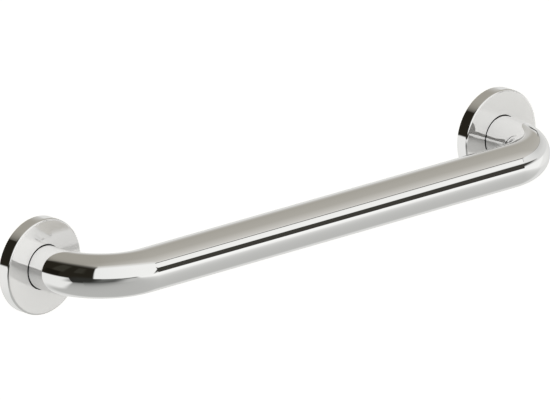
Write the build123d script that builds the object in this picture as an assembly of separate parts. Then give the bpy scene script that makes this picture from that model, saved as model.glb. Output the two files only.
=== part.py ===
from build123d import *
import os

# Wall-mounted grab bar, in millimetres. X runs along the bar, +Y goes into the wall and +Z is up.
# The origin is on the wall, midway between the two legs.

# Bar: one bent tube
leg_spacing = 350.0         # centre to centre of the two legs
stand_off = 50.0            # wall to the centre line of the bar
tube_diameter = 25.0
tube_wall = 1.5
bend_radius = 35.0          # on the tube's centre line

# Cover rose: a turned cup that slides on the leg
rose_diameter = 55.0
rose_skirt_wall = 0.8
rose_face_wall = 1.2
rose_edge_round = 1.2       # round of the visible front edge
rose_inner_round = 0.6      # tool radius in the cup's corner
rose_gap = 0.45             # all round, between the tube and the hole in the face
rose_bore_break = 0.15      # chamfer on that hole's front edge
hub_wall = 1.2              # outside the O-ring groove
groove_lip = 0.6            # behind the O-ring
hub_clearance = 0.5         # between the hub and the flange

# O-ring in the rose's hub
ring_section = 2.0
ring_slip = 0.05            # to the tube
ring_seat = 0.05            # to the groove's floor
ring_side_play = 0.1        # to each side of the groove

# Wall flange, with countersunk holes for its screws
flange_thickness = 3.0
flange_fit = 0.1            # to the tube
flange_play = 0.3           # to the rose's skirt
flange_edge_break = 0.4
screw_count = 3
screw_hole = 5.2
screw_head = 9.4            # countersink at the flange's front, 90 degrees

# Weld between the tube's end and the flange, ground back to clear the wall
weld_depth = 1.0
weld_relief = 0.1           # its face, behind the flange's back
weld_fit = 0.02             # to the flange's groove
weld_toe = 0.3              # bare width of the tube's end inside the bead
weld_round = 0.3

# Sizes that follow. Heights are measured from the wall.
leg_x = leg_spacing / 2
tube_radius = tube_diameter / 2
rose_radius = rose_diameter / 2
rose_cup_radius = rose_radius - rose_skirt_wall
rose_bore_radius = tube_radius + rose_gap
ring_centre_radius = tube_radius + ring_slip + ring_section / 2
groove_radius = ring_centre_radius + ring_section / 2 + ring_seat
hub_radius = groove_radius + hub_wall
hub_end = flange_thickness + hub_clearance
groove_back = hub_end + groove_lip
groove_front = groove_back + ring_section + 2 * ring_side_play
ring_height = (groove_back + groove_front) / 2
rose_depth = groove_front + rose_face_wall
flange_radius = rose_cup_radius - flange_play
flange_bore_radius = tube_radius + flange_fit
screw_circle_radius = (flange_bore_radius + flange_radius) / 2
countersink_depth = (screw_head - screw_hole) / 2


def ring_face(outline, rounds=()):
    """Half section on radius and height; rounds gives (radius, height, fillet) for its corners."""
    face = make_face(Polyline(*outline, close=True))
    for radius, height, size in rounds:
        corner = face.vertices().sort_by_distance((radius, height, 0))[0]
        face = fillet(corner, size)
    return face


def turned(section):
    """Solid of revolution about the leg's axis, standing on the wall."""
    return revolve(Plane.XZ * section, Axis.Z)


def grab_tube():
    corners = [
        (-leg_x, -weld_depth),
        (-leg_x, -stand_off),
        (leg_x, -stand_off),
        (leg_x, -weld_depth),
    ]
    path = FilletPolyline(*corners, radius=bend_radius)
    section = Circle(tube_radius) - Circle(tube_radius - tube_wall)
    return sweep(Plane(origin=path @ 0, z_dir=path % 0) * section, path=path)


def cover_rose():
    cup_height = rose_depth - rose_face_wall
    outline = [
        (rose_radius, 0),
        (rose_radius, rose_depth),
        (rose_bore_radius + rose_bore_break, rose_depth),
        (rose_bore_radius, rose_depth - rose_bore_break),
        (rose_bore_radius, groove_front),
        (groove_radius, groove_front),
        (groove_radius, groove_back),
        (rose_bore_radius, groove_back),
        (rose_bore_radius, hub_end),
        (hub_radius, hub_end),
        (hub_radius, cup_height),
        (rose_cup_radius, cup_height),
        (rose_cup_radius, 0),
    ]
    rounds = [
        (rose_radius, rose_depth, rose_edge_round),
        (hub_radius, cup_height, rose_inner_round),
        (rose_cup_radius, cup_height, rose_inner_round),
    ]
    return turned(ring_face(outline, rounds))


def rose_o_ring():
    return turned(Pos(ring_centre_radius, ring_height) * Circle(ring_section / 2))


def flange():
    outline = [
        (flange_bore_radius + weld_depth, 0),
        (flange_radius, 0),
        (flange_radius, flange_thickness - flange_edge_break),
        (flange_radius - flange_edge_break, flange_thickness),
        (flange_bore_radius, flange_thickness),
        (flange_bore_radius, weld_depth),
    ]
    screw_outline = [
        (0, 0),
        (screw_hole / 2, 0),
        (screw_hole / 2, flange_thickness - countersink_depth),
        (screw_head / 2, flange_thickness),
        (0, flange_thickness),
    ]
    screw_cut = turned(ring_face(screw_outline))
    return turned(ring_face(outline)) - PolarLocations(screw_circle_radius, screw_count) * screw_cut


def weld():
    groove_side = flange_bore_radius + weld_depth - weld_fit    # the groove's cone, at the wall
    inner_toe = tube_radius - tube_wall + weld_toe
    inner_face = inner_toe + weld_depth / 2
    outline = [
        (inner_toe, weld_depth),
        (groove_side - weld_depth, weld_depth),
        (groove_side - weld_relief, weld_relief),
        (inner_face, weld_relief),
    ]
    return turned(ring_face(outline, [(inner_face, weld_relief, weld_round)]))


# Each leg's fittings are made on the wall's plane, with the first screw on the bar's outer side
leg_planes = {
    "left": Plane(origin=(-leg_x, 0, 0), x_dir=(-1, 0, 0), z_dir=(0, -1, 0)),
    "right": Plane(origin=(leg_x, 0, 0), x_dir=(1, 0, 0), z_dir=(0, -1, 0)),
}
fittings = {
    "flange": flange(),
    "weld": weld(),
    "cover_rose": cover_rose(),
    "rose_o_ring": rose_o_ring(),
}

nodes = {"grab_tube": grab_tube()}
for side, plane in leg_planes.items():
    for name, solid in fittings.items():
        nodes[f"{side}_{name}"] = plane * solid

os.makedirs("parts", exist_ok=True)
for name, solid in nodes.items():
    export_step(solid, f"parts/{name}.step")
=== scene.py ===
import bmesh
import bpy
from math import cos, hypot, pi, radians, sin
from mathutils import Matrix, Vector


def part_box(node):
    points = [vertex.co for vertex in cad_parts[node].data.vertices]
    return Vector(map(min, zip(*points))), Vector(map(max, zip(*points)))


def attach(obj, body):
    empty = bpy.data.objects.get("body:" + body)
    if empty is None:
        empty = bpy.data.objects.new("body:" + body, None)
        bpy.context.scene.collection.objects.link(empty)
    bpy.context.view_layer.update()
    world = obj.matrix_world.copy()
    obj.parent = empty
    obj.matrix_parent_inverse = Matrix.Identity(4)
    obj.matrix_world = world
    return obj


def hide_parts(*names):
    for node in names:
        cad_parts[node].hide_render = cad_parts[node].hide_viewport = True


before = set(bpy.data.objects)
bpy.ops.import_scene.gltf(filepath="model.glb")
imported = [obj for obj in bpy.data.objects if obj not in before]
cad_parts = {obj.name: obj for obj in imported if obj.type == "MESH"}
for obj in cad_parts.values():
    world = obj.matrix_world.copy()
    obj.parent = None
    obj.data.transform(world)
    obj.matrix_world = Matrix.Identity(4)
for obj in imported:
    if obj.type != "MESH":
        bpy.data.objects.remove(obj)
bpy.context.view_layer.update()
mm = 0.001

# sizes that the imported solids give
roseLow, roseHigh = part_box("right_cover_rose")
tubeLow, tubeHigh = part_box("grab_tube")
flangeLow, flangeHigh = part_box("right_flange")
weldLow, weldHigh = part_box("right_weld")
ringLow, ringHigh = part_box("right_rose_o_ring")
legX = (roseLow.x + roseHigh.x) / 2
roseRadius = roseHigh.z
roseDepth = -roseLow.y
tubeRadius = tubeHigh.z
tubeEnd = -tubeHigh.y                       # height of the tube's cut ends above the wall
standOff = -tubeLow.y - tubeRadius
flangeRadius = flangeHigh.z
flangeDepth = -flangeLow.y
weldRadius = weldHigh.z
ringSection = (ringHigh.y - ringLow.y) / 2  # radius of the O-ring's round section
ringHeight = -(ringHigh.y + ringLow.y) / 2
ringCentre = ringHigh.z - ringSection
print("frame read: legs at", round(legX / mm, 2), "mm, stand-off", round(standOff / mm, 2), "mm")


class Wire:
    # one output socket: sums and products of wires add Math nodes
    def __init__(self, tree, socket=None):
        self.tree = tree
        self.socket = socket

    def node(self, kind, settings=None, inputs=None, output=0):
        made = self.tree.nodes.new(kind)
        for name, value in (settings or {}).items():
            if name == "stops":
                self.setStops(made.color_ramp, value)
            else:
                setattr(made, name, value)
        for name, value in (inputs or {}).items():
            if isinstance(value, Wire):
                self.tree.links.new(value.socket, made.inputs[name])
            else:
                made.inputs[name].default_value = value
        return Wire(self.tree, made.outputs[output] if made.outputs else None)

    def setStops(self, ramp, stops):
        while len(ramp.elements) < len(stops):
            ramp.elements.new(1.0)
        for element, (place, colour) in zip(ramp.elements, stops):
            element.position = place
            element.color = (*colour, 1.0)

    def math(self, operation, *values):
        return self.node("ShaderNodeMath", {"operation": operation}, dict(enumerate(values)))

    def dot(self, vector):
        settings = {"operation": "DOT_PRODUCT"}
        return self.node("ShaderNodeVectorMath", settings, {0: self, 1: vector}, "Value")

    def step(self, start, end):
        # smooth step from 0 at start to 1 at end, either way round
        settings = {"interpolation_type": "SMOOTHSTEP"}
        rising = start < end
        inputs = {
            "Value": self,
            "From Min": min(start, end),
            "From Max": max(start, end),
            "To Min": 0.0 if rising else 1.0,
            "To Max": 1.0 if rising else 0.0,
        }
        return self.node("ShaderNodeMapRange", settings, inputs)

    def mix(self, first, second):
        # colours: first where this wire is 0, second where it is 1
        inputs = {0: self, 6: first, 7: second}
        return self.node("ShaderNodeMix", {"data_type": "RGBA"}, inputs, 2)

    def __add__(self, other):
        return self.math("ADD", self, other)

    def __sub__(self, other):
        return self.math("SUBTRACT", self, other)

    def __rsub__(self, other):
        return self.math("SUBTRACT", other, self)

    def __mul__(self, other):
        return self.math("MULTIPLY", self, other)

    def __truediv__(self, other):
        return self.math("DIVIDE", self, other)

    __radd__ = __add__


def newMaterial(name):
    material = bpy.data.materials.new(name)
    material.use_nodes = True
    material.node_tree.nodes.clear()
    return material, Wire(material.node_tree)


def place(wire):
    return wire.node("ShaderNodeTexCoord", output="Object")


def noise(wire, at, scale, detail=3.0, rough=0.5):
    inputs = {"Vector": at, "Scale": scale, "Detail": detail, "Roughness": rough}
    return wire.node("ShaderNodeTexNoise", inputs=inputs, output="Fac")


def bump(wire, height, distance):
    inputs = {"Height": height, "Distance": distance, "Strength": 1.0}
    return wire.node("ShaderNodeBump", inputs=inputs, output="Normal")


def legAxis(wire, at):
    # place by the nearer leg's axis: along and up the wall, into it, and the distance from the axis
    split = wire.node("ShaderNodeSeparateXYZ", inputs={0: at})
    along = split.math("ABSOLUTE", split) - legX
    up = Wire(wire.tree, split.socket.node.outputs["Z"])
    depth = Wire(wire.tree, split.socket.node.outputs["Y"])
    radius = wire.math("SQRT", along * along + up * up)
    return {"along": along, "up": up, "depth": depth, "radius": radius}


def principled(material, wire, inputs):
    finish = wire.node("ShaderNodeBsdfPrincipled", inputs=inputs)
    wire.node("ShaderNodeOutputMaterial", inputs={"Surface": finish})
    return material


chrome = {
    "colour": (0.965, 0.966, 0.970, 1.0),
    "clouded": (0.955, 0.957, 0.964, 1.0),  # where the plate is a touch thinner
    "cloudScale": 38.0,
    "roughness": 0.012,
    "polishMarks": 0.012,                   # added roughness in the finest marks
    "markScale": 900.0,
    "ripple": 1.5e-6,                       # waviness left under the plate, in metres
    "rippleScale": 140.0,
    "haze": 0.42,                           # share of the rose's face that scatters light
    "hazeColour": (0.972, 0.967, 0.966, 1.0),
    "hazeFade": (0.12 * mm, 0.02 * mm),     # behind the face, where the haze starts and is full
    "ringPitch": 0.35 * mm,                 # feed marks that the polish left on the face
    "ringMarks": 0.004,                     # added roughness
}


def chromePlate(wire, at):
    clouds = noise(wire, at, chrome["cloudScale"], 2.0)
    marks = noise(wire, at, chrome["markScale"], 4.0, 0.6)
    waves = noise(wire, at, chrome["rippleScale"], 1.0)
    colour = clouds.mix(chrome["colour"], chrome["clouded"])
    roughness = chrome["roughness"] + marks * chrome["polishMarks"]
    return colour, roughness, bump(wire, waves, chrome["ripple"])


def tubeChrome():
    material, wire = newMaterial("polished_chrome_tube")
    colour, roughness, normal = chromePlate(wire, place(wire))
    inputs = {"Base Color": colour, "Metallic": 1.0, "Roughness": roughness, "Normal": normal}
    return principled(material, wire, inputs)


def roseChrome():
    # the rim is plain mirror; the face was turned and polished, so a fine haze lies in its shine
    material, wire = newMaterial("polished_chrome_rose")
    at = place(wire)
    colour, roughness, normal = chromePlate(wire, at)
    leg = legAxis(wire, at)
    fadeStart, fadeEnd = chrome["hazeFade"]
    onFace = leg["depth"].step(fadeStart - roseDepth, fadeEnd - roseDepth)
    rings = wire.math("SINE", leg["radius"] * (2 * pi / chrome["ringPitch"])) * onFace
    inputs = {
        "Base Color": onFace.mix(colour, chrome["hazeColour"]),
        "Metallic": 1 - onFace * chrome["haze"],
        "Roughness": roughness + rings * chrome["ringMarks"],
        "Normal": normal,
    }
    return principled(material, wire, inputs)


bore = {
    "colour": (0.48, 0.47, 0.45, 1.0),
    "scale": (0.30, 0.26, 0.22, 1.0),       # mill scale, in patches
    "patchScale": 260.0,
    "patchEdge": (0.42, 0.68),
    "bareMetal": 0.6,                       # the rest is a dull oxide film
    "roughness": 0.42,
    "grainScale": 2600.0,
    "grainRoughness": 0.16,
    "dieLines": 150,                        # drawn lines round the bore
    "lineWander": 4.0,
    "lineHeight": 3e-6,
}


def boreSteel():
    # the tube's inside: bare drawn steel
    material, wire = newMaterial("drawn_steel_bore")
    at = place(wire)
    leg = legAxis(wire, at)
    patches = noise(wire, at, bore["patchScale"], 4.0, 0.6)
    grain = noise(wire, at, bore["grainScale"], 2.0)
    angle = wire.math("ARCTAN2", leg["up"], leg["along"])
    lines = wire.math("SINE", angle * bore["dieLines"] + patches * bore["lineWander"])
    inputs = {
        "Base Color": patches.step(*bore["patchEdge"]).mix(bore["colour"], bore["scale"]),
        "Metallic": bore["bareMetal"],
        "Roughness": bore["roughness"] + grain * bore["grainRoughness"],
        "Normal": bump(wire, lines + grain, bore["lineHeight"]),
    }
    return principled(material, wire, inputs)


steel = {
    "colour": (0.56, 0.56, 0.55, 1.0),
    "dull": (0.46, 0.46, 0.46, 1.0),
    "smearScale": 160.0,
    "smearEdge": (0.35, 0.75),
    "roughness": 0.27,
    "grainScale": 2400.0,
    "grainRoughness": 0.10,
    "grainShare": 0.8,                      # of the feed marks' height
    "ringPitch": 0.24 * mm,                 # feed marks of the turned face
    "ringWander": 3.0,
    "ringRoughness": 0.03,
    "ringHeight": 1.2e-6,
}


def flangeSteel():
    material, wire = newMaterial("flange_steel")
    at = place(wire)
    leg = legAxis(wire, at)
    smear = noise(wire, at, steel["smearScale"], 4.0)
    grain = noise(wire, at, steel["grainScale"], 3.0)
    turns = leg["radius"] * (2 * pi / steel["ringPitch"])
    rings = wire.math("SINE", turns + smear * steel["ringWander"])
    roughness = steel["roughness"] + grain * steel["grainRoughness"] + rings * steel["ringRoughness"]
    inputs = {
        "Base Color": smear.step(*steel["smearEdge"]).mix(steel["colour"], steel["dull"]),
        "Metallic": 1.0,
        "Roughness": roughness,
        "Normal": bump(wire, rings + grain * steel["grainShare"], steel["ringHeight"]),
    }
    return principled(material, wire, inputs)


weld = {
    "ripples": 84,                          # scales of the bead round the tube
    "rippleSteps": 4,                       # faces to each scale
    "rippleDepth": 0.05 * mm,
    "rippleMargin": 0.1 * mm,               # plain edge beside the scales
    "toe": 11.3 * mm,                       # inner edge on the tube's end
    "innerFace": 11.8 * mm,                 # where the ground face starts
    "round": 0.3 * mm,
    "roundSegments": 3,
    "bare": (0.45, 0.43, 0.40),
    "straw": (0.50, 0.42, 0.30),            # heat tint, from the bead outwards
    "violet": (0.33, 0.29, 0.36),
    "tintWander": 0.35,
    "tintShift": 0.17,
    "speckleScale": 900.0,
    "roughness": 0.36,
    "speckleRoughness": 0.18,
    "scaleTwist": 2600.0,                   # fine scales, turned this much per metre outwards
    "scaleHeight": 6e-6,
}


def weldSteel():
    material, wire = newMaterial("weld_steel")
    at = place(wire)
    leg = legAxis(wire, at)
    angle = wire.math("ARCTAN2", leg["up"], leg["along"])
    speckle = noise(wire, at, weld["speckleScale"], 4.0, 0.6)
    scales = wire.math("SINE", angle * weld["ripples"] + leg["radius"] * weld["scaleTwist"])
    outwards = leg["radius"].step(weld["toe"], weldRadius)
    tint = outwards + speckle * weld["tintWander"] - weld["tintShift"]
    stops = [(0.0, weld["bare"]), (0.5, weld["straw"]), (0.8, weld["violet"]), (1.0, weld["bare"])]
    inputs = {
        "Base Color": wire.node("ShaderNodeValToRGB", {"stops": stops}, {0: tint}),
        "Metallic": 1.0,
        "Roughness": weld["roughness"] + speckle * weld["speckleRoughness"],
        "Normal": bump(wire, scales + speckle, weld["scaleHeight"]),
    }
    return principled(material, wire, inputs)


rubber = {
    "colour": (0.018, 0.018, 0.019, 1.0),
    "bloom": (0.045, 0.044, 0.042, 1.0),    # pale bloom on moulded rubber
    "bloomScale": 700.0,
    "bloomEdge": (0.45, 0.85),
    "bloomRoughness": 0.22,
    "roughness": 0.58,
    "grainScale": 5200.0,
    "grainHeight": 4e-6,
    "around": 28,                           # faces round the O-ring's section
    "steps": 160,
}


def blackRubber():
    material, wire = newMaterial("black_rubber")
    at = place(wire)
    patches = noise(wire, at, rubber["bloomScale"], 5.0, 0.6)
    grain = noise(wire, at, rubber["grainScale"], 2.0)
    inputs = {
        "Base Color": patches.step(*rubber["bloomEdge"]).mix(rubber["colour"], rubber["bloom"]),
        "Roughness": rubber["roughness"] + patches * rubber["bloomRoughness"],
        "Normal": bump(wire, grain, rubber["grainHeight"]),
    }
    return principled(material, wire, inputs)


modelling = {
    "merge": 0.001 * mm,
    "onRing": 0.01 * mm,                    # how near a ring a corner of it lies
    "sharp": 32,                            # degrees, past which an edge stays crisp
}


def finishPiece(bm, name, material, body, node):
    bmesh.ops.remove_doubles(bm, verts=bm.verts, dist=modelling["merge"])
    bmesh.ops.recalc_face_normals(bm, faces=bm.faces)
    mesh = bpy.data.meshes.new(name)
    bm.to_mesh(mesh)
    bm.free()
    mesh.shade_smooth()
    mesh.set_sharp_from_angle(angle=radians(modelling["sharp"]))
    mesh.materials.append(material)
    piece = bpy.data.objects.new(name, mesh)
    bpy.context.scene.collection.objects.link(piece)
    shading = piece.modifiers.new("flat faces stay flat", "WEIGHTED_NORMAL")
    shading.keep_sharp = True
    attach(piece, body)
    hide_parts(node)
    print("piece", name, len(mesh.polygons), "faces")
    return piece


def onRing(vert, axisX, radius, height):
    across = hypot(vert.co.x - axisX, vert.co.z)
    return max(abs(across - radius), abs(-vert.co.y - height)) < modelling["onRing"]


def ringEdges(circle):
    return list({edge for vert in circle["verts"] for edge in vert.link_edges})


def spinRound(bm, geom, axisX, steps):
    # a full turn round a leg's axis
    bmesh.ops.spin(
        bm, geom=geom, cent=(axisX, 0, 0), axis=(0, 1, 0), angle=2 * pi, steps=steps, use_merge=True
    )


def roundRing(bm, axisX, radius, height, size, segments):
    # rounds the ring edge that runs at this radius and height
    edges = []
    for edge in bm.edges:
        if all(onRing(vert, axisX, radius, height) for vert in edge.verts):
            edges.append(edge)
    bmesh.ops.bevel(
        bm, geom=edges, offset=size, segments=segments, profile=0.5, affect="EDGES", material=-1
    )


def turned(outline, axisX, steps):
    # spins a closed section of radius and height round a leg's axis
    bm = bmesh.new()
    verts = [bm.verts.new((axisX + radius, -height, 0)) for radius, height in outline]
    edges = [bm.edges.new(pair) for pair in zip(verts, verts[1:] + verts[:1])]
    spinRound(bm, verts + edges, axisX, steps)
    return bm


tube = {
    "wall": 1.5 * mm,
    "bendRadius": 35.0 * mm,
    "around": 192,                          # faces round the tube
    "bendSteps": 72,                        # rings in each bend
}


def lastRing(geom):
    verts = {item for item in geom if isinstance(item, bmesh.types.BMVert)}
    return [item for item in geom if isinstance(item, bmesh.types.BMEdge) and set(item.verts) <= verts]


def pullRing(bm, edges, way):
    made = bmesh.ops.extrude_edge_only(bm, edges=edges)["geom"]
    verts = [item for item in made if isinstance(item, bmesh.types.BMVert)]
    bmesh.ops.translate(bm, verts=verts, vec=way)
    return lastRing(made)


def bendRing(bm, edges, centre, angle):
    made = bmesh.ops.spin(
        bm, geom=edges, cent=centre, axis=(0, 0, 1), angle=angle, steps=tube["bendSteps"], use_merge=False
    )
    return lastRing(made["geom_last"])


def tubeSkin(bm, radius):
    # one wall of the tube: up the left leg, round, along the bar, round and down the right leg
    bend = tube["bendRadius"]
    start = Matrix.Translation((-legX, -tubeEnd, 0)) @ Matrix.Rotation(radians(90), 4, "X")
    circle = bmesh.ops.create_circle(bm, segments=tube["around"], radius=radius, matrix=start)
    first = ringEdges(circle)
    legRun = standOff - bend - tubeEnd
    ring = pullRing(bm, first, (0, -legRun, 0))
    ring = bendRing(bm, ring, (-legX + bend, bend - standOff, 0), radians(90))
    ring = pullRing(bm, ring, (2 * (legX - bend), 0, 0))
    ring = bendRing(bm, ring, (legX - bend, bend - standOff, 0), radians(90))
    ring = pullRing(bm, ring, (0, legRun, 0))
    return first, ring


def makeTube(plated, bare):
    bm = bmesh.new()
    outerStart, outerEnd = tubeSkin(bm, tubeRadius)
    outside = set(bm.faces)
    innerStart, innerEnd = tubeSkin(bm, tubeRadius - tube["wall"])
    for face in set(bm.faces) - outside:
        face.material_index = 1             # the bore isn't plated
    for cutEnd in (outerStart + innerStart, outerEnd + innerEnd):
        bmesh.ops.triangle_fill(bm, use_beauty=True, edges=cutEnd)
    piece = finishPiece(bm, "chrome_tube", plated, "bar", "grab_tube")
    piece.data.materials.append(bare)


rose = {
    "skirtWall": 0.8 * mm,
    "faceWall": 1.2 * mm,
    "edgeRound": 1.2 * mm,                  # front edge, all round
    "edgeSegments": 12,
    "innerRound": 0.6 * mm,
    "innerSegments": 5,
    "gap": 0.45 * mm,                       # between the tube and the hole in the face
    "boreBreak": 0.15 * mm,                 # chamfer on that hole
    "hubWall": 1.2 * mm,
    "hubEnd": 3.5 * mm,                     # height of the hub's back end
    "grooveLip": 0.6 * mm,
    "grooveDepth": 1.65 * mm,
    "steps": 224,
}


def makeRose(side, axisX, material):
    opening = tubeRadius + rose["gap"]
    groove = opening + rose["grooveDepth"]
    hub = groove + rose["hubWall"]
    cup = roseRadius - rose["skirtWall"]
    under = roseDepth - rose["faceWall"]
    grooveBack = rose["hubEnd"] + rose["grooveLip"]
    outline = [
        (roseRadius, 0),
        (roseRadius, roseDepth),
        (opening, roseDepth),
        (opening, under),
        (groove, under),
        (groove, grooveBack),
        (opening, grooveBack),
        (opening, rose["hubEnd"]),
        (hub, rose["hubEnd"]),
        (hub, under),
        (cup, under),
        (cup, 0),
    ]
    bm = turned(outline, axisX, rose["steps"])
    roundRing(bm, axisX, roseRadius, roseDepth, rose["edgeRound"], rose["edgeSegments"])
    roundRing(bm, axisX, opening, roseDepth, rose["boreBreak"], 1)
    for inside in (hub, cup):
        roundRing(bm, axisX, inside, under, rose["innerRound"], rose["innerSegments"])
    finishPiece(
        bm, side + "_rose", material, side + "_rose", side + "_cover_rose"
    )


def makeRing(side, axisX, material):
    # moulded O-ring: a round section spun about the leg
    bm = bmesh.new()
    start = Matrix.Translation((axisX + ringCentre, -ringHeight, 0))
    circle = bmesh.ops.create_circle(bm, segments=rubber["around"], radius=ringSection, matrix=start)
    geom = circle["verts"] + ringEdges(circle)
    spinRound(bm, geom, axisX, rubber["steps"])
    finishPiece(
        bm, side + "_o_ring", material, side + "_rose", side + "_rose_o_ring"
    )


flange = {
    "fit": 0.1 * mm,                        # round the tube
    "edgeBreak": 0.4 * mm,
    "weldGroove": 1.0 * mm,
    "screwCount": 3,
    "screwHole": 2.6 * mm,                  # radius
    "screwHead": 4.7 * mm,                  # radius of the countersink at the front
    "steps": 160,
    "holeSteps": 48,
}


def ringAt(bm, centreX, centreZ, radius, height, steps):
    start = Matrix.Translation((centreX, -height, centreZ)) @ Matrix.Rotation(radians(90), 4, "X")
    circle = bmesh.ops.create_circle(bm, segments=steps, radius=radius, matrix=start)
    return ringEdges(circle)


def wallBetween(bm, rings):
    for lower, upper in zip(rings, rings[1:]):
        bmesh.ops.bridge_loops(bm, edges=lower + upper)


def makeFlange(side, axisX, material):
    bm = bmesh.new()
    opening = tubeRadius + flange["fit"]
    groove = flange["weldGroove"]
    breakSize = flange["edgeBreak"]
    rimRings = [
        (flangeRadius, 0),
        (flangeRadius, flangeDepth - breakSize),
        (flangeRadius - breakSize, flangeDepth),
    ]
    openingRings = [(opening + groove, 0), (opening, groove), (opening, flangeDepth)]
    hole, head = flange["screwHole"], flange["screwHead"]
    screwRings = [(hole, 0), (hole, flangeDepth - (head - hole)), (head, flangeDepth)]
    stacks = []
    for rings in (rimRings, openingRings):
        stacks.append([ringAt(bm, axisX, 0, *ring, flange["steps"]) for ring in rings])
    screwCircle = (opening + flangeRadius) / 2
    outwards = 1 if axisX > 0 else -1       # the first screw is on the bar's outer side
    for number in range(flange["screwCount"]):
        turn = 2 * pi * number / flange["screwCount"]
        centreX = axisX + outwards * screwCircle * cos(turn)
        centreZ = screwCircle * sin(turn)
        stacks.append([ringAt(bm, centreX, centreZ, *ring, flange["holeSteps"]) for ring in screwRings])
    for stack in stacks:
        wallBetween(bm, stack)
    for end in (0, -1):                     # back and front
        outlines = [edge for stack in stacks for edge in stack[end]]
        bmesh.ops.triangle_fill(bm, use_beauty=True, edges=outlines)
    finishPiece(bm, side + "_wall_flange", material, "bar", side + "_flange")


def makeWeld(side, axisX, material):
    # ground bead with the last of its ripples still in the face
    back = -weldHigh.y
    depth = -weldLow.y
    outline = [
        (weld["toe"], depth),
        (weldRadius - (depth - back), depth),
        (weldRadius, back),
        ((weldRadius + weld["innerFace"]) / 2, back),
        (weld["innerFace"], back),
    ]
    bm = turned(outline, axisX, weld["ripples"] * weld["rippleSteps"])
    roundRing(bm, axisX, weld["innerFace"], back, weld["round"], weld["roundSegments"])
    margin = weld["rippleMargin"]
    for vert in bm.verts:
        across = hypot(vert.co.x - axisX, vert.co.z)
        if across < weldRadius - margin and -vert.co.y < depth - margin:
            turn = Vector((vert.co.x - axisX, vert.co.z)).angle_signed(Vector((1, 0)))
            vert.co.y -= weld["rippleDepth"] * (0.5 - 0.5 * cos(turn * weld["ripples"]))
    finishPiece(bm, side + "_weld_bead", material, "bar", side + "_weld")


tubeFinish = tubeChrome()
boreFinish = boreSteel()
roseFinish = roseChrome()
flangeFinish = flangeSteel()
weldFinish = weldSteel()
rubberFinish = blackRubber()
print("finishes made")

makeTube(tubeFinish, boreFinish)
for side, axisX in {"left": -legX, "right": legX}.items():
    makeRose(side, axisX, roseFinish)
    makeRing(side, axisX, rubberFinish)
    makeFlange(side, axisX, flangeFinish)
    makeWeld(side, axisX, weldFinish)


# The studio. A flat stands one metre off on its heading, in degrees from straight ahead of the wall;
# across and height are metres on it, and the last one drawn is the nearest. Rise and fall tilt its
# lower and upper edges, lean slants its sides, and once keeps it out of a mirror seen in a mirror.
studio = {
    "gain": (1.035, 1.034, 1.020),          # makes up for what the chrome takes away
    "horizon": 0.05,                        # level surfaces don't stretch beyond this slope
    "ahead": 0.001,                         # least distance ahead at which a flat is drawn
    "onceDepth": 2.5,                       # mirror steps after which a flat marked once is left out
    "ceiling": {
        "tone": (0.344, 0.327, 0.290),
        "bright": (0.80, 0.785, 0.762),     # lit by the bright wall and by the right wall
        "dark": (0.019, 0.017, 0.012),      # beside the dark wall
        "glows": [
            {"heading": -6, "amount": 0.46, "power": 0.98},
            {"heading": 48, "amount": 0.18, "power": 0.67},
        ],
        "shade": {"heading": -105, "amount": 1.5, "power": 3.0},
    },
    "floor": {
        "tone": (0.446, 0.446, 0.436),
        "bright": (0.85, 0.85, 0.84),
        "dark": (0.02, 0.02, 0.018),
        "glows": [{"heading": 85, "amount": 0.116, "power": 2.0}],
        "shade": {"heading": -76, "amount": 0.098, "power": 2.0},
    },
}
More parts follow.
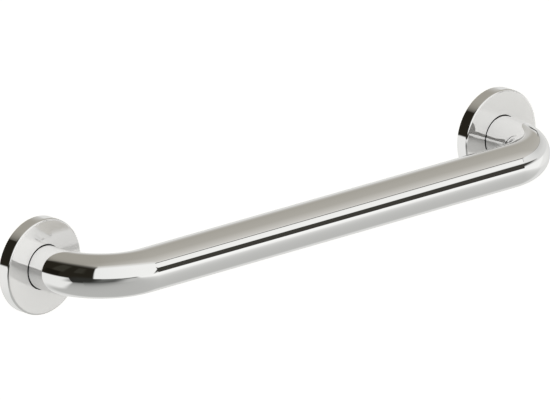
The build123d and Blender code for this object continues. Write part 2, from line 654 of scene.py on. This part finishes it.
flats = {
    "back glow": {
        "heading": 140, "across": (-0.16, 3.0), "height": (-1.8, 0.42),
        "softAcross": (0.16, 0.30), "softHeight": (1.3, 0.60), "tone": (0.60, 0.595, 0.58),
    },
    "back right": {
        "heading": 162, "across": (-3.56, 3.0), "height": (-1.77, 0.285),
        "softAcross": (0.31, 0.30), "softHeight": (1.31, 0.10), "tone": (0.71, 0.71, 0.702),
    },
    "right wall": {
        "heading": 50, "across": (-0.1, 4.0), "height": (-0.05, 0.57),
        "softAcross": (0.03, 0.1), "softHeight": (0.12, 0.025), "tone": (0.565, 0.565, 0.557),
    },
    "right wall foot": {
        "heading": 50, "across": (-0.1, 4.0), "height": (-0.05, 0.33),
        "softAcross": (0.03, 0.1), "softHeight": (0.12, 0.40), "tone": (0.660, 0.660, 0.652),
    },
    "right wall edge": {
        "heading": 50, "across": (0.06, 4.0), "height": (0.563, 0.588),
        "softAcross": (0.05, 0.1), "softHeight": (0.012, 0.016), "tone": (0.25, 0.24, 0.22),
    },
    "far corner": {
        "heading": 127, "across": (-0.035, 0.075), "height": (0.118, 0.176), "rise": 0.75, "fall": 0.75,
        "softAcross": (0.02, 0.05), "softHeight": (0.012, 0.02), "tone": (0.028, 0.027, 0.024),
    },
    "far edge": {
        "heading": 127, "across": (-0.14, -0.03), "height": (0.098, 0.134), "rise": -0.95, "fall": -0.95,
        "softAcross": (0.06, 0.01), "softHeight": (0.012, 0.015), "tone": (0.10, 0.097, 0.088),
    },
    "back left": {
        "heading": -160.5, "across": (-0.42, 3.68), "height": (-2.1, 0.044), "lean": 0.67,
        "softAcross": (1.0, 0.21), "softHeight": (0.97, 0.035), "tone": (0.790, 0.790, 0.780),
    },
    "low front": {
        "heading": -27, "across": (-0.82, 0.61), "height": (-0.19, 0.15), "rise": 0.47,
        "softAcross": (0.04, 0.14), "softHeight": (1.19, 0.05), "tone": (0.158, 0.160, 0.154),
    },
    "low front lit end": {
        "heading": -27, "across": (0.25, 0.75), "height": (-0.4, -0.055),
        "softAcross": (0.5, 0.2), "softHeight": (0.2, 0.06), "tone": (0.48, 0.48, 0.47),
    },
    "dark wall": {
        "heading": -85.6, "across": (-1.6, 0.94), "height": (-0.024, 2.2),
        "softAcross": (0.30, 0.04), "softHeight": (0.10, 1.69), "tone": (0.0175, 0.0155, 0.0110),
    },
    "dark wall far end": {
        "heading": -150, "across": (-0.12, 0.60), "height": (-0.005, 0.80),
        "softAcross": (0.02, 0.20), "softHeight": (0.06, 0.03), "tone": (0.0175, 0.0155, 0.0110),
    },
    "dark wall panel": {
        "heading": -105, "across": (-0.17, 0.16), "height": (0.42, 1.3),
        "softAcross": (0.12, 0.10), "softHeight": (0.20, 0.30), "tone": (0.036, 0.034, 0.026),
    },
    "dark wall second panel": {
        "heading": -75, "across": (-0.11, 0.13), "height": (0.50, 1.25),
        "softAcross": (0.06, 0.14), "softHeight": (0.12, 0.20), "tone": (0.033, 0.031, 0.024),
    },
    "dark wall base": {
        "heading": -110, "across": (-0.25, 0.17), "height": (0.06, 0.40),
        "softAcross": (0.10, 0.06), "softHeight": (0.05, 0.12), "tone": (0.0095, 0.0085, 0.006),
    },
    "dark wall foot": {
        "heading": -81.7, "across": (0.0, 0.76), "height": (-0.34, 0.12), "lean": -0.44,
        "softAcross": (0.40, 0.44), "softHeight": (0.28, 0.27), "tone": (0.028, 0.028, 0.025),
    },
    "bright wall top": {
        "heading": -20.8, "across": (-0.56, 3.2), "height": (0.5, 2.4),
        "softAcross": (0.12, 0.60), "softHeight": (0.2, 2.4), "tone": (0.76, 0.755, 0.74),
    },
    "bright wall": {
        "heading": -20.8, "across": (-0.612, 2.73), "height": (0.036, 1.72), "rise": -0.035,
        "softAcross": (0.07, 0.23), "softHeight": (0.056, 0.40), "tone": (0.822, 0.822, 0.812),
    },
    "bright wall lit side": {
        "heading": -20.8, "across": (0.05, 2.73), "height": (0.036, 1.60), "rise": -0.035,
        "softAcross": (1.5, 0.23), "softHeight": (0.056, 0.60), "tone": (0.868, 0.868, 0.858),
    },
    "right wall near": {
        "heading": 50, "across": (-0.22, 0.2), "height": (0.02, 0.59), "lean": -0.4,
        "softAcross": (0.012, 0.74), "softHeight": (0.08, 0.03), "tone": (0.755, 0.755, 0.747),
    },
    "slit": {
        "heading": 50, "across": (-0.226, -0.214), "height": (0.32, 0.56), "lean": -0.4,
        "softAcross": (0.008, 0.008), "softHeight": (0.08, 0.02), "tone": (0.16, 0.155, 0.14),
    },
    "seam": {
        "heading": 50, "across": (-0.05, 0.075), "height": (0.598, 0.646), "rise": -0.25, "fall": -0.25,
        "softAcross": (0.02, 0.05), "softHeight": (0.012, 0.012), "tone": (0.030, 0.029, 0.025),
    },
    "foot glow": {
        "heading": 80, "across": (-0.2, 0.42), "height": (-0.40, -0.0),
        "softAcross": (0.20, 0.60), "softHeight": (0.20, 0.08), "tone": (0.79, 0.79, 0.78),
    },
    "bright foot": {
        "heading": 52, "across": (-0.95, 0.69), "height": (-0.297, -0.005), "rise": -0.23, "lean": -0.55,
        "softAcross": (0.20, 0.16), "softHeight": (0.13, 0.07), "tone": (0.890, 0.890, 0.880),
    },
    "bright corner": {
        "heading": 38, "across": (-0.13, 0.08), "height": (-0.178, -0.08),
        "softAcross": (0.10, 0.08), "softHeight": (0.08, 0.06), "tone": (0.955, 0.955, 0.945),
    },
    "dark streak": {
        "heading": 55, "across": (-0.41, 0.22), "height": (0.053, 0.17), "rise": 0.2, "fall": -0.24,
        "lean": -0.63, "once": True,
        "softAcross": (0.03, 0.04), "softHeight": (0.15, 0.04), "tone": (0.044, 0.042, 0.036),
    },
    "dark gap": {
        "heading": 41, "across": (-0.03, 0.021), "height": (-0.071, 0.288), "rise": -2.1, "fall": -2.1,
        "softAcross": (0.004, 0.006), "softHeight": (0.02, 0.04), "tone": (0.044, 0.042, 0.036),
    },
}


def facing(direction, heading):
    turn = radians(heading)
    ahead = direction.dot((sin(turn), -cos(turn), 0.0))
    aside = direction.dot((cos(turn), sin(turn), 0.0))
    return ahead, aside


def shone(direction, upright, part):
    # what a wall on this heading does to the level surface above or below the object
    ahead = facing(direction, part["heading"])[0]
    slope = ahead.math("MAXIMUM", ahead, 0.0) / upright
    return slope.math("POWER", slope, part["power"]) * part["amount"]


def level(direction, upright, part):
    glow = sum(shone(direction, upright, light) for light in part["glows"])
    shade = shone(direction, upright, part["shade"])
    colour = glow.math("MINIMUM", glow, 1.0).mix((*part["tone"], 1.0), (*part["bright"], 1.0))
    return shade.math("MINIMUM", shade, 1.0).mix(colour, (*part["dark"], 1.0))


def edgeStep(value, edge, soft, inside):
    return value.step(edge - inside * soft / 2, edge + inside * soft / 2)


def flatMask(direction, height, part):
    ahead, aside = facing(direction, part["heading"])
    reach = ahead.math("MAXIMUM", ahead, studio["ahead"])
    up = height / reach
    across = aside / reach
    slid = across + up * part["lean"] if "lean" in part else across
    low = up - across * part["rise"] if "rise" in part else up
    high = up - across * part["fall"] if "fall" in part else up
    mask = edgeStep(slid, part["across"][0], part["softAcross"][0], 1)
    mask = mask * edgeStep(slid, part["across"][1], part["softAcross"][1], -1)
    mask = mask * edgeStep(low, part["height"][0], part["softHeight"][0], 1)
    mask = mask * edgeStep(high, part["height"][1], part["softHeight"][1], -1)
    return mask * ahead.math("GREATER_THAN", ahead, studio["ahead"])


def makeStudio():
    world = bpy.data.worlds.new("studio")
    world.use_nodes = True
    world.node_tree.nodes.clear()
    bpy.context.scene.world = world
    wire = Wire(world.node_tree)
    direction = wire.node("ShaderNodeTexCoord", output="Generated")
    height = direction.dot((0.0, 0.0, 1.0))
    above = height.math("MAXIMUM", height, studio["horizon"])
    below = height.math("MAXIMUM", height * -1.0, studio["horizon"])
    ceiling = level(direction, above, studio["ceiling"])
    floor = level(direction, below, studio["floor"])
    colour = height.math("GREATER_THAN", height, 0.0).mix(floor, ceiling)
    mirrored = wire.node("ShaderNodeLightPath", output="Ray Depth")
    for part in flats.values():
        mask = flatMask(direction, height, part)
        if "once" in part:                  # left out of what one mirror shows in another
            mask = mask * mirrored.math("LESS_THAN", mirrored, studio["onceDepth"])
        colour = mask.mix(colour, (*part["tone"], 1.0))
    settings = {"operation": "MULTIPLY"}
    colour = wire.node("ShaderNodeVectorMath", settings, {0: colour, 1: studio["gain"]})
    seen = wire.node("ShaderNodeLightPath", output="Is Camera Ray")
    colour = seen.mix(colour, (1.0, 1.0, 1.0, 1.0))
    shine = wire.node("ShaderNodeBackground", inputs={"Color": colour, "Strength": 1.0})
    wire.node("ShaderNodeOutputWorld", inputs={"Surface": shine})
    print("studio lit with", len(flats), "flats")


floorPlan = {"size": 90.0, "below": 0.30, "colour": (0.80, 0.80, 0.79, 1.0), "fill": 0.72}


def makeFloor():
    # pale floor: its own light is for the camera only, so it stays white and keeps the shadow
    bm = bmesh.new()
    low = Matrix.Translation((0, 0, -floorPlan["below"]))
    bmesh.ops.create_grid(bm, x_segments=1, y_segments=1, size=floorPlan["size"] / 2, matrix=low)
    mesh = bpy.data.meshes.new("floor")
    bm.to_mesh(mesh)
    bm.free()
    material, wire = newMaterial("pale_floor")
    seen = wire.node("ShaderNodeLightPath", output="Is Camera Ray")
    paint = wire.node("ShaderNodeBsdfDiffuse", inputs={"Color": floorPlan["colour"]})
    light = wire.node("ShaderNodeEmission", inputs={"Strength": seen * floorPlan["fill"]})
    both = wire.node("ShaderNodeAddShader", inputs={0: paint, 1: light})
    wire.node("ShaderNodeOutputMaterial", inputs={"Surface": both})
    mesh.materials.append(material)
    floor = bpy.data.objects.new("floor", mesh)
    bpy.context.scene.collection.objects.link(floor)
    floor.visible_glossy = False            # the chrome mirrors the studio's own floor
    print("floor laid")


fill = {"place": (-0.20, -0.72, -0.10), "aim": (-0.10, 0.0, 0.0), "size": 0.4, "power": 1.2}


def makeFill():
    # soft lamp for the haze on the roses' faces: the mirrors don't show it
    data = bpy.data.lights.new("fill lamp", "AREA")
    data.shape = "DISK"
    data.size = fill["size"]
    data.energy = fill["power"]
    lamp = bpy.data.objects.new("fill lamp", data)
    lamp.location = fill["place"]
    lamp.rotation_mode = "QUATERNION"
    lamp.rotation_quaternion = (Vector(fill["aim"]) - lamp.location).to_track_quat("-Z", "Y")
    lamp.visible_glossy = False
    bpy.context.scene.collection.objects.link(lamp)
    print("fill lamp hung")


photo = {
    "width": 550, "height": 400,            # pixels
    "origin": (266.5, 198.4),               # pixel that the frame's origin is set on
    "pixelSize": mm / 1.7923,
    "azimuth": -43.33,
    "elevation": 17.55,
    "lens": 1200.0,                         # long, for the parallel view
    "sensor": 36.0,
}


def makeCamera():
    turn = radians(photo["azimuth"])
    tilt = radians(photo["elevation"])
    back = Vector((sin(turn) * cos(tilt), -cos(turn) * cos(tilt), sin(tilt)))
    right = Vector((cos(turn), sin(turn), 0))
    up = back.cross(right)
    aimAcross = (photo["width"] / 2 - photo["origin"][0]) * photo["pixelSize"]
    aimUp = (photo["origin"][1] - photo["height"] / 2) * photo["pixelSize"]
    aim = right * aimAcross + up * aimUp
    data = bpy.data.cameras.new("photo camera")
    data.lens = photo["lens"]
    data.sensor_width = photo["sensor"]
    distance = photo["width"] * photo["pixelSize"] * photo["lens"] / photo["sensor"]
    data.clip_start = distance / 100
    data.clip_end = distance * 10
    camera = bpy.data.objects.new("photo camera", data)
    camera.location = aim + back * distance
    camera.rotation_mode = "QUATERNION"
    camera.rotation_quaternion = (-back).to_track_quat("-Z", "Y")
    bpy.context.scene.collection.objects.link(camera)
    bpy.context.scene.camera = camera
    print("camera", round(distance, 2), "m off")


makeStudio()
makeFloor()
makeFill()
makeCamera()
bpy.context.scene.view_settings.view_transform = "Standard"
